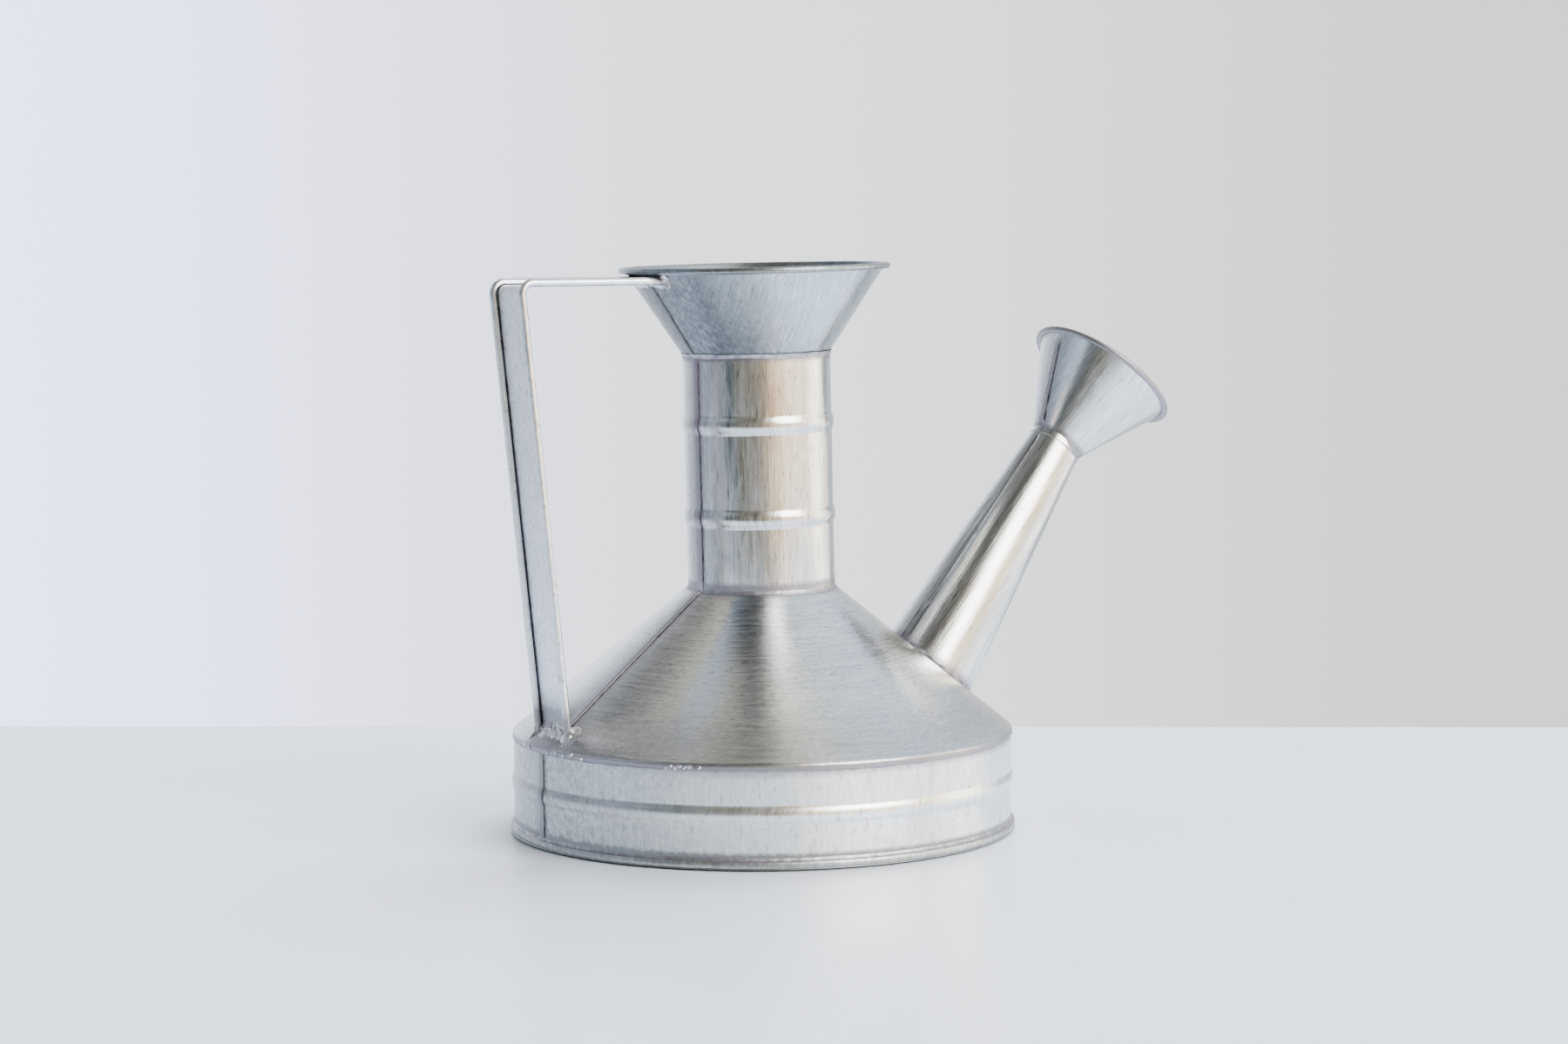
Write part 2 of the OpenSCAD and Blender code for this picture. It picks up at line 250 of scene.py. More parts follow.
def zinc(name, light, dark, rough, grain, mottle, speck, relief, turn=0.0, spread=0.05,
         stain_and_shade_colour=STAIN_AND_SHADE):
    """Zinc-coated sheet: fine streaks, soft mottling, flecks, and a dull dark colour beside the
    solder from flux, which some pieces also use as painted shade. grain, mottle and speck are
    scales of noise, and relief says how high the streaks and the mottling stand."""
    mat, n, shader = new_material(name)
    lines = n.streaks(grain, turn, 5.0)
    patches = n.streaks(mottle, turn, 4.0, 0.6)
    cloud = n.streaks((16, 12), 0.4, 3.0, 0.4)
    # The shares of the three noises add up to 1
    tone = n.math("ADD", n.fit(lines, *NOISE, 0, 0.36), n.fit(patches, *NOISE, 0, 0.4))
    tone = n.math("ADD", tone, n.fit(cloud, *NOISE, 0, 0.24))
    colour = n.mix(tone, (*dark, 1), (*light, 1))
    flecks = n.streaks(speck, turn, 2.0, 0.3)
    colour = n.mix(n.fit(flecks, 0.58, 0.74, 0, 0.75), colour, (*FLECK, 1))
    darkest = [c * 0.62 for c in dark]
    colour = n.mix(n.fit(flecks, 0.42, 0.28, 0, 0.75), colour, (*darkest, 1))
    # The per-point mark that turns the sheet to its dark colour: flux beside the solder, and
    # painted shade where a piece's marks include it
    stain_and_shade = n.add("ShaderNodeAttribute", attribute_name="stain_and_shade").outputs["Fac"]
    ragged = n.streaks((420, 330), 0.0, 4.0, 0.8)
    stain_and_shade = n.math("MULTIPLY", stain_and_shade, n.fit(ragged, 0.32, 0.62, 0.72, 1.12))
    stain_and_shade = n.fit(stain_and_shade, 0.08, 0.62)
    n.feed(shader, "Base Color", n.mix(stain_and_shade, colour, (*stain_and_shade_colour, 1)))
    shader.inputs["Metallic"].default_value = 1.0
    roughness = n.math("ADD", n.fit(patches, *NOISE, rough - spread, rough + spread),
                       n.fit(lines, *NOISE, -spread / 2, spread / 2))
    roughness = n.math("ADD", roughness, n.math("MULTIPLY", stain_and_shade, 0.16))
    n.feed(shader, "Roughness", roughness)
    height = n.math("ADD", n.math("MULTIPLY", lines, relief[0]),
                    n.math("MULTIPLY", patches, relief[1]))
    bump = n.add("ShaderNodeBump", {"Strength": 0.5, "Distance": 0.00012, "Height": height})
    n.feed(shader, "Normal", bump.outputs[0])
    return mat


def solder_material(name, light, dark, rough):
    """Dull soft solder with brighter drawn-out lumps and purple-grey flux."""
    mat, n, shader = new_material(name)
    place = n.add("ShaderNodeTexCoord").outputs["Object"]
    big, small = [n.add("ShaderNodeTexNoise", {"Vector": place, "Scale": scale, "Detail": detail,
                                               "Roughness": 0.6}).outputs["Fac"]
                  for scale, detail in ((260.0, 4.0), (1500.0, 3.0))]
    tone = n.fit(n.math("ADD", big, n.math("MULTIPLY", small, 0.35)), 0.5, 0.85)
    n.feed(shader, "Base Color", n.mix(tone, (*dark, 1), (*light, 1)))
    shader.inputs["Metallic"].default_value = 1.0
    n.feed(shader, "Roughness", n.fit(big, *NOISE, rough + 0.1, rough - 0.1))
    bump = n.add("ShaderNodeBump", {"Strength": 0.6, "Distance": 0.0002, "Height": tone})
    n.feed(shader, "Normal", bump.outputs[0])
    return mat


NECK_ZINC = zinc("zinc_upright", light=(0.86, 0.86, 0.87), dark=(0.38, 0.39, 0.41), rough=0.20,
                 grain=(1100, 20), mottle=(280, 26), speck=(700, 110), relief=(1.5, 1.2))
# The drum's dark colour serves its flux marks and the painted shade round its seam
DRUM_ZINC = zinc("zinc_drum", light=(0.95, 0.975, 0.98), dark=(0.57, 0.60, 0.62), rough=0.26,
                 grain=(900, 30), mottle=(260, 60), speck=(500, 150), relief=(1.0, 0.5),
                 stain_and_shade_colour=(0.24, 0.252, 0.262))
SHOULDER_ZINC = zinc("zinc_round", light=(0.82, 0.83, 0.84), dark=(0.40, 0.42, 0.44),
                     rough=0.205, grain=(24, 1150), mottle=(60, 520), speck=(300, 900),
                     relief=(1.0, 0.3), spread=0.04)
# The funnel's very dark colour serves its flux marks and the painted shade round its seam and
# inside its mouth
FUNNEL_ZINC = zinc("zinc_funnel", light=(0.60, 0.66, 0.71), dark=(0.31, 0.35, 0.39), rough=0.22,
                   grain=(1300, 50), mottle=(520, 40), speck=(1400, 70), relief=(1.0, 0.5),
                   turn=0.7, stain_and_shade_colour=(0.13, 0.138, 0.155))
ROSE_ZINC = zinc("zinc_slanted", light=(0.74, 0.75, 0.77), dark=(0.46, 0.47, 0.49), rough=0.24,
                 grain=(1200, 40), mottle=(420, 50), speck=(1200, 70), relief=(0.8, 0.4),
                 turn=0.5)
SPOUT_ZINC = zinc("zinc_spout", light=(0.86, 0.86, 0.86), dark=(0.40, 0.40, 0.38), rough=0.18,
                  grain=(1100, 14), mottle=(220, 14), speck=(800, 60), relief=(1.2, 0.6))
HANDLE_ZINC = zinc("zinc_handle", light=(0.88, 0.91, 0.96), dark=(0.50, 0.53, 0.60), rough=0.30,
                   grain=(900, 60), mottle=(300, 160), speck=(420, 300), relief=(0.8, 0.8))
SOLDER = solder_material("solder_dull", (0.30, 0.285, 0.33), (0.09, 0.08, 0.105), 0.42)
EDGE_SOLDER = solder_material("solder_pale", (0.46, 0.45, 0.50), (0.23, 0.215, 0.26), 0.42)
SEAM_SOLDER = solder_material("solder_seam", (0.17, 0.155, 0.18), (0.04, 0.036, 0.046), 0.48)
BRIGHT_SOLDER = solder_material("solder_bright", (0.90, 0.89, 0.90), (0.22, 0.20, 0.23), 0.28)


# ---------------------------------------------------------------- meshes

SHARP_ANGLE = math.radians(40)


def make_object(name, points, faces, place, material, nodes, uvs=None, stains_and_shade=None):
    """One closed piece that rides on the root body and stands for its CAD nodes."""
    mesh = bpy.data.meshes.new(name)
    mesh.from_pydata([tuple(place @ Vector(p) * MM) for p in points], [], faces)
    mesh.validate()
    layer = mesh.uv_layers.new(name="sheet")
    if uvs:
        for loop in mesh.loops:
            layer.data[loop.index].uv = [c * MM for c in uvs[loop.vertex_index]]
    # Per-point darkening of the sheet: flux marks, and painted shade on some pieces
    stain_and_shade = mesh.attributes.new("stain_and_shade", "FLOAT", "POINT")
    if stains_and_shade:
        stain_and_shade.data.foreach_set("value", stains_and_shade)
    mesh.materials.append(material)
    mesh.shade_smooth()
    mesh.set_sharp_from_angle(angle=SHARP_ANGLE)
    obj = bpy.data.objects.new(name, mesh)
    bpy.context.scene.collection.objects.link(obj)
    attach(obj, "root")
    if nodes:
        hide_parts(*nodes)
    return obj


def weld(obj):
    """Joins points that lie in one place, and turns all faces outwards."""
    bm = bmesh.new()
    bm.from_mesh(obj.data)
    bmesh.ops.remove_doubles(bm, verts=bm.verts, dist=1e-7)
    bmesh.ops.recalc_face_normals(bm, faces=bm.faces)
    bm.to_mesh(obj.data)
    bm.free()


def torus_faces(columns, rows, close_rows=True):
    """Faces between neighbouring columns of a closed profile, all round."""
    faces = []
    for c in range(columns):
        nxt = (c + 1) % columns
        for r in range(rows if close_rows else rows - 1):
            up = (r + 1) % rows
            faces.append((c * rows + r, nxt * rows + r, nxt * rows + up, c * rows + up))
    return faces


def swept_faces(size, count, first=0):
    """Faces round a section that is repeated count times, with a cap at each end."""
    faces = []
    for i in range(count - 1):
        for k in range(size):
            m, j = (k + 1) % size, first + i * size
            faces.append((j + k, j + m, j + size + m, j + size + k))
    last = first + (count - 1) * size
    return faces + [tuple(range(first, first + size))[::-1], tuple(range(last, last + size))]


def fade(distance, width):
    """How strong a soft-edged mark is at a distance from its middle."""
    return math.exp(-(distance / width) ** 2)


def unevenness(p, seed, amount):
    """A gentle hand-made unevenness of a sheet's surface."""
    shift = Vector((seed * 17.3, seed * 5.1, seed * 9.7))
    return amount * (noise.noise(p / 38 + shift) + 0.25 * noise.noise(p / 13 + shift))


# Distance across an overlapped seam, and how far the sheet stands out there
LAP = [(-3.4, 0), (-2.6, 0.08), (-2.0, 0.5), (-1.5, 0.95), (0, 1.0), (1.3, 1.0), (1.66, 0.96),
       (1.72, 0.0), (2.4, 0)]
# How far the inner face's streaks are from the outer face's on the flat sheet
INNER_SHIFT = (300, 70)


@dataclass
class StainsAndShade:
    """Where flux has dulled a sheet, and where shade is painted on it. seam is for the strips
    beside the overlap and haze (amount, width) for a broad mark round it, which is partly dull
    zinc and partly painted shade. joints holds a path length, width and amount for each
    soldered joint or wide band of painted shade, blots a middle and a reach for each round
    mark, and inside is how much the inner face is darkened."""
    joints: tuple = ()
    seam: float = 1.0
    dull_and_shade: tuple = (0, 1)
    blots: tuple = ()
    inside: float = 0.15
    seam_width = 4.2

    def at(self, point, along, from_seam, on_lap):
        marks = [fade(from_seam, self.seam_width) * on_lap * self.seam,
                 self.dull_and_shade[0] * fade(from_seam, self.dull_and_shade[1])]
        marks += [amount * fade(along - edge, width) for edge, width, amount in self.joints]
        marks += [fade((point - middle).length, reach) for middle, reach in self.blots]
        return max(marks)


def across_seam(c, r):
    """How far round from the seam a column is, and how far the sheet stands out there. The
    first columns draw the overlap and the rest are spread over the circle."""
    if c < len(LAP):
        return LAP[c]
    first, last = LAP[0][0], LAP[-1][0]
    f = (c - len(LAP) + 1) / (COLUMNS - len(LAP) + 1)
    return last + f * (2 * math.pi * r + first - last), 0


def shell(name, path, place, material, seam_az, node, seed, lap, dent, stains_and_shade, foot=None):
    """A rolled sheet, closed by an overlapped seam. lap holds the path lengths where the
    overlap starts and ends, dent is how uneven the sheet is, and foot moves a column's
    points to where the sheet is cut."""
    path = fine(path, ROW_STEP)
    rows = list(zip(path, path_normals(path), path_lengths(path)))
    turn = math.radians(seam_az)

    def sheet_point(c, p, n, along):
        """The outer and the inner point, the place on the flat sheet, and the stain."""
        r = max(p.x, 0.02)
        s, rise = across_seam(c, r)
        a = turn + s / r
        flat, out = swung(p, a), swung(n, a)
        on_lap = 1.0 if lap[0] <= along <= lap[1] else 0.0
        push = unevenness(flat, seed, dent)
        from_seam = min(abs(s), abs(2 * math.pi * r - s))
        return (flat + out * (push + rise * on_lap * SHEET_T), flat + out * (push - SHEET_T),
                (s, along), stains_and_shade.at(flat, along, from_seam, on_lap))

    points, uvs, marks = [], [], []
    for c in range(COLUMNS):
        column = [sheet_point(c, *row) for row in rows]
        if foot:
            column = foot(column)
        for outer, _, uv, mark in column:
            points.append(outer)
            uvs.append(uv)
            marks.append(mark)
        for _, inner, uv, _ in column[::-1]:
            points.append(inner)
            uvs.append((uv[0] + INNER_SHIFT[0], uv[1] + INNER_SHIFT[1]))
            marks.append(stains_and_shade.inside)
    make_object(name, points, torus_faces(COLUMNS, 2 * len(rows)), place, material,
                [node], uvs, marks)


def seam_solder(name, path, place, seam_az, node, seed, lap):
    """The two thin uneven runs of solder beside an overlapped seam."""
    path = fine(path, SOLDER_STEP)
    rows = [row for row in zip(path, path_normals(path), path_lengths(path))
            if lap[0] <= row[2] <= lap[1]]
    turn, near, sunk = math.radians(seam_az), LAP_W / 2 - 0.35, -0.15
    points, faces = [], []
    for side in (-1, 1):
        first = len(points)
        for p, n, along in rows:
            wide = LAP_SOLDER_W * (0.75 + 0.5 * noise.noise((along / 5, side * 7, seed)))
            high = 0.24 + 0.1 * noise.noise((along / 3, side * 3, seed + 4))
            section = [(near, sunk), (near, high * 1.5), (near + wide * 0.5, high),
                       (near + wide, 0.03), (near + wide, sunk)]
            points += [swung(p + n * h, turn + side * s / p.x) for s, h in section]
        run = swept_faces(len(section), len(rows), first)
        faces += run if side > 0 else [face[::-1] for face in run]
    make_object(name, points, faces, place, SEAM_SOLDER, [node])


def fillet(name, joint, node, seed, high, wide, count, material, lumps, place=AT_DRUM):
    """A run of solder round a closed joint. joint(f) gives the joint's point and the unit
    directions up the wall and out along the other surface, for f from 0 to 1."""
    points = []
    for i in range(count):
        at, up, out = joint(i / count)
        swell = 1 + lumps * (noise.noise((at[0] / 6, at[1] / 6, seed))
                             + 0.6 * noise.noise((at[0] / 2.2, at[1] / 2.2, seed + 9)))
        h, w = high * swell, wide * (0.6 + 0.4 * swell)
        belly = 0.30 + 0.10 * noise.noise((at[0] / 3, at[1] / 3, seed + 5))
        section = [at - (up + out) * 0.35,
                   at + up * h - out * 0.12,
                   at + up * h * 0.56 + out * w * belly * 0.55,
                   at + (up * h + out * w) * belly,
                   at + up * h * belly * 0.55 + out * w * 0.56,
                   at + out * w - up * 0.12]
        points += section
    run = make_object(name, points, torus_faces(count, len(section)), place, material,
                      [node])
    weld(run)


def drops(name, places, seed, rings=5, around=10, squash=0.62):
    """Small flattened beads of solder; each place is a middle, the way it stands out, and a
    radius."""
    points, faces = [], []
    for at, way, r in places:
        facing = way.normalized().to_track_quat("Z", "Y").to_matrix()
        first = len(points)
        points.append(at + facing @ Vector((0, 0, r * squash)))
        for i in range(1, rings):
            tilt = math.pi * i / rings
            for k in range(around):
                ball = swung((math.sin(tilt), squash * math.cos(tilt)), 2 * math.pi * k / around)
                swell = 1 + 0.45 * noise.noise(ball * 1.3 + Vector((seed, at.x, at.z)))
                points.append(at + facing @ (ball * r * swell))
        points.append(at - facing @ Vector((0, 0, r * squash)))
        last = len(points) - 1
        end = last - around
        for k in range(around):
            m = (k + 1) % around
            faces.append((first, first + 1 + k, first + 1 + m))
            for low in range(first + 1, end, around):
                high = low + around
                faces.append((low + k, high + k, high + m, low + m))
            faces.append((last, end + m, end + k))
    make_object(name, points, faces, AT_DRUM, BRIGHT_SOLDER, [])


# Where beads of solder were left on the drum's upper edge: direction, and height on the lip
LIP_DROPS = [(218.6, 0.2), (219.8, 0.6), (220.9, 0.3), (221.8, 0.8), (222.9, 0.5), (224.0, 0.7),
             (225.3, 0.2), (226.2, 0.5), (196.5, 0.4), (193.0, 0.8), (190.2, 0.3), (187.4, 0.7),
             (184.0, 0.4), (175.0, 0.5), (171.6, 0.7), (38.0, 0.4), (39.6, 0.6), (318.0, 0.5)]


def lip_drop(az, lift):
    """A bead on the lip: its middle, the way it stands out, and its radius."""
    a = math.radians(az)
    middle = swung((DRUM_R + SHEET_T - 0.05, LIP_Z + 0.3 + 1.6 * lift), a)
    return middle, swung((1, 0), a), 0.75 + 0.5 * lift


def circle_joint(r, z, up, out):
    """A joint round the Z axis, with its directions given in the plane of the profile."""
    def joint(f):
        a = 2 * math.pi * f
        return swung((r, z), a), swung(up, a), swung(out, a)
    return joint


# ---------------------------------------------------------------- drum and shoulder

def build_base():
    """The base pan, with the fold at the drum's foot that is drawn as one solid edge."""
    out, panel_r, top_z = DRUM_R + FOOT_OUT, DRUM_R - 21, PANEL_Z + SHEET_T
    below = [(0, PANEL_Z), (60, PANEL_Z), (panel_r, PANEL_Z), (DRUM_R - 17, 0)]
    foot = [(out - 2.0, 0), (out - 1.3, 0.55)]
    fold = [(out, 0.95), (out - 0.25, 1.25), (out, 1.6), (out, 2.6), (out - 0.12, FOOT_H - 0.5),
            (out - 0.5, FOOT_H - 0.05), (DRUM_R + 0.1, FOOT_H)]
    above = [(DRUM_R, SHEET_T), (DRUM_R - 16.8, SHEET_T), (panel_r + 0.2, top_z), (60, top_z),
             (0, top_z)]
    # The foot is dark as a painted contact shadow where it meets the table, the groove above it is
    # dark too, and the fold is half dulled
    stain_and_shade = [0.2] * len(below) + [1.0] * len(foot) + [0.2, 1.0] + [0.5] * 5 + [0.2] * len(above)
    points, uvs, marks = [], [], []
    for c in range(COLUMNS):
        a = 2 * math.pi * c / COLUMNS
        wave = 0.12 * noise.noise((8 * math.cos(a), 8 * math.sin(a), 3))
        waved = [(r, z + wave) for r, z in fold]
        points += [swung(point, a) for point in below + foot + waved + above]
        uvs += [(a * DRUM_R, r + z) for r, z in below + foot + fold + above]
        marks += stain_and_shade
    faces = torus_faces(COLUMNS, len(stain_and_shade), close_rows=False)
    weld(make_object("base_folded_pan", points, faces, AT_DRUM, DRUM_ZINC,
                     ["base_pan"], uvs, marks))


def build_drum():
    path = beaded(DRUM_R, SHEET_T, EDGE_Z, [DRUM_BEAD_Z])
    # The broad mark round the seam is partly dull zinc and partly painted shade; the two narrow
    # marks are flux beside the solder
    stains_and_shade = StainsAndShade(joints=((FOOT_H + 0.6, 1.6, 1), (LIP_Z - SHEET_T, 0.9, 1)), dull_and_shade=(0.50, 105))
    shell("drum_band", path, AT_DRUM, DRUM_ZINC, DRUM_SEAM, "drum_wall", 1,
          (FOOT_H + 0.5, LIP_Z - 0.6), 0.16, stains_and_shade)
    seam_solder("drum_seam_runs", path, AT_DRUM, DRUM_SEAM, "drum_side_solder", 2,
                (FOOT_H + 1.5, LIP_Z - 1.8))
    fillet("foot_solder_run", circle_joint(DRUM_R + 0.1, FOOT_H, (0, 1), (1, 0)),
           "base_solder", 3, 1.6, 1.2, 300, EDGE_SOLDER, 0.12)
    fillet("lip_solder_run", circle_joint(DRUM_R + 0.1, LIP_Z, (0, -1), (1, 0)),
           "shoulder_seam_solder", 4, 0.8, 0.5, 300, EDGE_SOLDER, 0.3)
    drops("lip_solder_drops", [lip_drop(az, lift) for az, lift in LIP_DROPS], 24)


def build_shoulder():
    path = [Vector((DRUM_R + SHEET_T, LIP_Z))]
    path += arc((EDGE_X, EDGE_Z), EDGE_R, 0, 90 - math.degrees(SLOPE), 8)
    path += [on_shoulder(NECK_R - 0.25)]
    total = path_lengths(path)[-1]
    lap = (14.0, total - 2.4)
    by_handle = Vector((-DRUM_R + 9, 0, EDGE_Z + 4))
    # The wide band 12 mm along the sheet from its lower edge is painted shade, the broad mark round
    # the seam is partly dull zinc and partly painted shade, and the narrow marks and the blot by
    # the handle are flux
    stains_and_shade = StainsAndShade(joints=((total, 2.4, 1), (0, 2.6, 1), (12, 24, 0.30)), dull_and_shade=(0.24, 26),
                    blots=((by_handle, 19),))
    shell("shoulder_cone", path, AT_DRUM, SHOULDER_ZINC, SHOULDER_SEAM, "shoulder", 5, lap, 0.2,
          stains_and_shade)
    seam_solder("shoulder_seam_runs", path, AT_DRUM, SHOULDER_SEAM, "shoulder_side_solder", 6,
                lap)


# ---------------------------------------------------------------- neck and funnel

def build_neck():
    sunk = 6
    path = beaded(NECK_R, -sunk, NECK_H, NECK_BEADS)
    lap = (8.0, NECK_H + sunk)
    # The broad mark round the seam is partly dull zinc and partly painted shade; the narrow marks
    # are flux at the two ends
    stains_and_shade = StainsAndShade(joints=((sunk + 1.5, 2.2, 1), (NECK_H + sunk + 0.5, 1.8, 1)),
                    dull_and_shade=(0.34, 15))
    shell("neck_tube_beaded", path, AT_NECK, NECK_ZINC, NECK_SEAM, "neck_tube", 7, lap, 0.2,
          stains_and_shade)
    seam_solder("neck_seam_runs", path, AT_NECK, NECK_SEAM, "neck_side_solder", 8,
                (lap[0] + 2.5, lap[1] - 1))
    down = (math.cos(SLOPE), -math.sin(SLOPE))
    fillet("neck_foot_run", circle_joint(NECK_R, NECK_FOOT_Z, (0, 1), down),
           "neck_foot_solder", 9, 1.1, 1.3, 240, EDGE_SOLDER, 0.3)


def build_funnel():
    sunk, slope = 3.3, math.degrees(RIM_SLOPE)
    roll = arc(RIM_MID, ROLL_MID_R, slope + 90, slope - 200, 20)
    path = [FUNNEL_FOOT - Vector((0, sunk)), FUNNEL_FOOT] + roll
    lap = (4.0, sunk + (FUNNEL_TOP - FUNNEL_FOOT).length - 0.5)
    # The broad mark round the seam is partly dull zinc and partly painted shade, the darkened inner
    # face is painted shade inside the mouth, and the narrow mark is flux at the foot
    stains_and_shade = StainsAndShade(joints=((sunk, 2.0, 1),), dull_and_shade=(0.62, 55), inside=0.42)
    shell("funnel_mouth", path, AT_NECK, FUNNEL_ZINC, FUNNEL_SEAM, "funnel", 10, lap, 0.2,
          stains_and_shade)
    seam_solder("funnel_seam_runs", path, AT_NECK, FUNNEL_SEAM, "funnel_side_solder", 11,
                (lap[0] + 2, lap[1] - 3))
    up = (math.cos(RIM_SLOPE), math.sin(RIM_SLOPE))
    fillet("funnel_foot_run", circle_joint(NECK_R + 0.05, NECK_H, up, (0, -1)),
           "funnel_foot_solder", 12, 1.2, 1.0, 240, EDGE_SOLDER, 0.3, AT_NECK)


# ---------------------------------------------------------------- handle

LEAN = math.radians(LEG_LEAN)
BEND_A = math.pi / 2 + LEAN
BEND_X = -GRIP_X + GRIP_BEND_R * math.tan(BEND_A / 2)
LEG_DIR = Vector((math.sin(LEAN), 0, -math.cos(LEAN)))
BEND_MID = Vector((BEND_X, 0, GRIP_Z - GRIP_BEND_R))
BAR_ROWS, BEND_ROWS, LEG_ROWS = 26, 12, 60


def strap_section():
    """The strap's outline: across it, and how far out from the middle of its rolled edges.
    Each edge curls over and ends just short of the web, which leaves a dark slit."""
    half, r = STRAP_W / 2, STRAP_ROLL_R
    inner_r = r - STRAP_T
    web_in = -0.89 * r
    web_out = web_in + STRAP_T
    outer = math.degrees(math.asin(web_in / r))
    inner = math.degrees(math.asin(web_out / inner_r))
    # The curl's tip in degrees, and how much of the web's width its count of points covers
    tip, share, count = 194, 0.93, 8
    curl = arc((half, 0), inner_r, -180 - inner, tip, 16)
    curl += arc((half, 0), r, tip, -180 - outer, 22)
    across = [half * share * (1 - 2 * i / count) for i in range(1, count)]
    outline = curl + [Vector((y, web_in)) for y in across]
    outline += [Vector((-p.x, p.y)) for p in curl[::-1]]
    return outline + [Vector((-y, web_out)) for y in across]


def cone_hit(p):
    """Where a line through p along X meets the funnel's outer face, on the handle's side."""
    inverse = AT_NECK.inverted()
    x = -50.0
    for _ in range(8):
        local = inverse @ Vector((x, p.y, p.z))
        r = FUNNEL_FOOT.x + (local.z - NECK_H) / math.tan(RIM_SLOPE)
        x += -math.sqrt(max(r * r - p.y ** 2, 1)) - local.x
    return x


def leg_hit(p):
    """How far from p down the leg its line meets the shoulder's outer face."""
    low, high = 0.0, 320.0
    for _ in range(40):
        mid = (low + high) / 2
        low, high = (low, mid) if under_shoulder(p + LEG_DIR * mid) else (mid, high)
    return low


def strap_stations():
    """The part of the strap, the share of it that is done, and the turn at each section."""
    bar = [("bar", i / BAR_ROWS, 0.0) for i in range(BAR_ROWS + 1)]
    bend = [("bend", i / BEND_ROWS, BEND_A * i / BEND_ROWS) for i in range(1, BEND_ROWS + 1)]
    leg = [("leg", i / LEG_ROWS, BEND_A) for i in range(1, LEG_ROWS + 1)]
    return bar + bend + leg


def strap_point(part, f, a, y, n):
    """A point of the strap's section, its place along the strap, and its stain."""
    bar_l, bend_l, into_funnel, into_shoulder = 62, 8, 0.25, 0.4
    normal = Vector((-math.sin(a), 0, math.cos(a)))
    p = BEND_MID + normal * (GRIP_BEND_R + n) + Vector((0, y, 0))
    if part == "bar":
        end = Vector((cone_hit(p) + into_funnel, p.y, p.z))
        p, run, mark = end.lerp(p, f), (1 - f) * bar_l, fade(f * bar_l, 5)
    elif part == "bend":
        run, mark = -f * bend_l, 0
    else:
        length = leg_hit(p) + into_shoulder
        p = p + LEG_DIR * length * f
        run, mark = -bend_l - length * f, fade((1 - f) * length, 13)
    bow = 0.25 * noise.noise((p.x / 30, p.z / 30, 2.5)) if abs(y) < 12 else 0.0
    return p + normal * bow, run, mark


def build_strap():
    outline, stations = strap_section(), strap_stations()
    points, uvs, stains_and_shade = [], [], []
    for part, f, a in stations:
        for y, n in outline:
            p, run, mark = strap_point(part, f, a, y, n)
            points.append(p)
            uvs.append((y + n, run))
            stains_and_shade.append(mark)
    weld(make_object("handle_rolled_strap", points, swept_faces(len(outline), len(stations)),
                     AT_DRUM, HANDLE_ZINC, ["handle_strap"], uvs, stains_and_shade))


def piled_drops(count):
    """Beads of solder piled unevenly round the strap's foot."""
    for i in range(count):
        at, up, out = foot_joint((i + 0.5 * noise.noise((i * 1.7, 2.0, 0.5))) / count)
        lift = 0.5 + 0.5 * noise.noise((i * 2.3, 8.0, 1.5))
        radius = 1.1 + 0.5 * noise.noise((i * 3.1, 4.0, 7.5))
        yield at + up * 3.0 * lift + out * (1.6 - 1.4 * lift), up + out, radius


def build_handle():
    build_strap()
    fillet("handle_foot_run", foot_joint, "handle_foot_solder", 14, 3.2, 4.6, 260,
           BRIGHT_SOLDER, 1.1)
    drops("handle_foot_drops", piled_drops(26), 25)
    fillet("handle_top_run", top_joint, "handle_top_solder", 15, 2.2, 2.0, 150,
           BRIGHT_SOLDER, 0.9)


def strap_outline_point(f):
    """A point round the outside of the strap's section, with the direction away from it.
    Between the rolled edges, the outside is the face of the web."""
    half, r = STRAP_W / 2, STRAP_ROLL_R
    straight, bend, web_y = 2 * half, math.pi * r, -0.9
    s = f * 2 * (straight + bend)
    if s < straight:
        return Vector((half - s, web_y)), Vector((0, 1))
    s -= straight
    if bend <= s < bend + straight:
        return Vector((s - bend - half, -r + 0.15)), Vector((0, -1))
    far = s < bend
    a = math.pi / 2 + s / r if far else -math.pi / 2 + (s - bend - straight) / r
    way = Vector((math.cos(a), math.sin(a)))
    flat = Vector((-half if far else half, 0)) + way * r * 0.95
    if flat.y > 0.2 and abs(way.x) < 0.1:
        flat.y = web_y
    return flat, way


def along_face(face, out):
    """The direction out, turned to lie along a surface that faces the direction face."""
    return (out - face * out.dot(face)).normalized()


def foot_joint(f):
    flat, way = strap_outline_point(f)
    normal = Vector((-math.cos(LEAN), 0, -math.sin(LEAN)))
    p = BEND_MID + normal * (GRIP_BEND_R + flat.y) + Vector((0, flat.x, 0))
    p = p + LEG_DIR * leg_hit(p)
    out = normal * way.y + Vector((0, way.x, 0))
    return p, -LEG_DIR, along_face(shoulder_face(p), out)


def top_joint(f):
    flat, way = strap_outline_point(f)
    p = Vector((0, flat.x, GRIP_Z + flat.y))
    p.x = cone_hit(p)
    local = AT_NECK.inverted() @ p
    radial = Vector((local.x, local.y, 0)).normalized()
    face = radial * math.sin(RIM_SLOPE) - UP * math.cos(RIM_SLOPE)
    return p, Vector((-1, 0, 0)), along_face(face, Vector((0, way.x, way.y)))


# ---------------------------------------------------------------- spout and rose

def spout_radius(z):
    return SPOUT_R - z * math.tan(math.radians(SPOUT_TAPER))


def spout_point(a, z):
    return swung((spout_radius(z), z), a)


